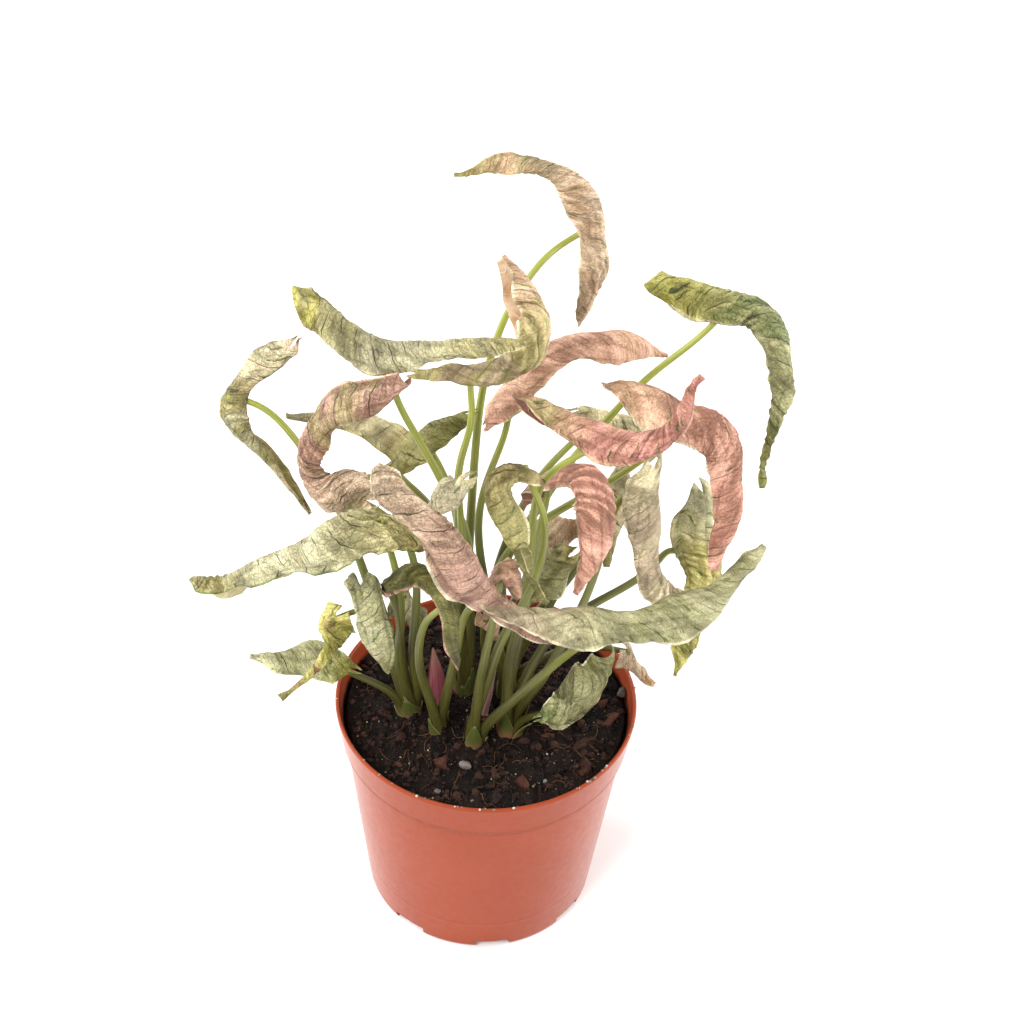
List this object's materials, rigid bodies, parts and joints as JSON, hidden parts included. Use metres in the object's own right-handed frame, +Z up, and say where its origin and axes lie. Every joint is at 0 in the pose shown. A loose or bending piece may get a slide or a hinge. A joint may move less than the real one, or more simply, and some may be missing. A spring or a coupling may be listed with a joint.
{
  "type": "potted arrowhead plant",
  "caption": "Bushy arrowhead plant with long curled, pink and cream marked leaves on thin green stalks, in a round terracotta-coloured nursery pot with soil.",
  "frame": {"origin": "centre of the pot's base, on the surface that the pot stands on", "axes": "+Z up, +X to the right and +Y away from the viewer, seen from the side that the picture shows"},
  "size_m": [0.2149, 0.1541, 0.3036],
  "materials": {
    "pot_plastic": "moulded polypropylene with a satin sheen",
    "soil": "crumbly moist peat",
    "stalks": "smooth satin leaf stalks",
    "young_leaves": "smooth rolled young leaf",
    "peach_leaves": "matte, wrinkled leaf with veins and flecks",
    "sage_leaves": "matte, wrinkled leaf with veins and flecks",
    "pink_leaves": "matte, wrinkled leaf with veins and flecks",
    "olive_leaves": "matte, wrinkled leaf with veins and flecks",
    "rose_leaves": "matte, wrinkled leaf with veins and flecks",
    "cream_leaves": "matte, wrinkled leaf with veins and flecks",
    "lime_leaves": "matte, wrinkled leaf with veins and flecks",
    "dusty_pink_leaves": "matte, wrinkled leaf with veins and flecks",
    "dry_brown_leaves": "matte, wrinkled leaf with veins and flecks"
  },
  "bodies": {
    "root": {"pot": "pot_plastic", "soil": "soil", "shoot_left": "stalks", "shoot_front_left": "stalks", "shoot_front": "stalks", "shoot_right": "stalks", "shoot_middle": "stalks", "shoot_back_right": "stalks", "young_leaf_middle": "young_leaves", "young_leaf_left": "young_leaves", "young_leaf_right": "young_leaves", "leaf_top": "peach_leaves", "leaf_left_roll": "sage_leaves", "leaf_upright_turn": "peach_leaves", "leaf_salmon_arch": "pink_leaves", "leaf_right_hook": "olive_leaves", "leaf_big_pink": "pink_leaves", "leaf_magenta_tail": "rose_leaves", "leaf_olive_hook": "olive_leaves", "leaf_pink_hook": "rose_leaves", "leaf_beige_strip": "cream_leaves", "leaf_lime_wavy": "lime_leaves", "leaf_long_sage": "sage_leaves", "leaf_dusty_band": "dusty_pink_leaves", "leaf_long_pale_left": "cream_leaves", "leaf_pink_sickle": "dusty_pink_leaves", "leaf_far_left": "olive_leaves", "leaf_yellow_behind": "lime_leaves", "leaf_olive_arm": "olive_leaves", "leaf_pale_wedge": "sage_leaves", "leaf_hanging_pale": "cream_leaves", "leaf_crumpled_curl": "lime_leaves", "leaf_low_left": "lime_leaves", "leaf_olive_arch": "olive_leaves", "leaf_small_fan": "sage_leaves", "leaf_low_right": "sage_leaves", "leaf_over_rim": "dry_brown_leaves", "leaf_brown_middle": "dry_brown_leaves", "leaf_olive_middle": "olive_leaves", "leaf_pink_scrap": "pink_leaves", "leaf_green_behind": "lime_leaves", "leaf_pale_strip": "cream_leaves", "leaf_peach_lobe": "peach_leaves"}
  },
  "joints": []
}
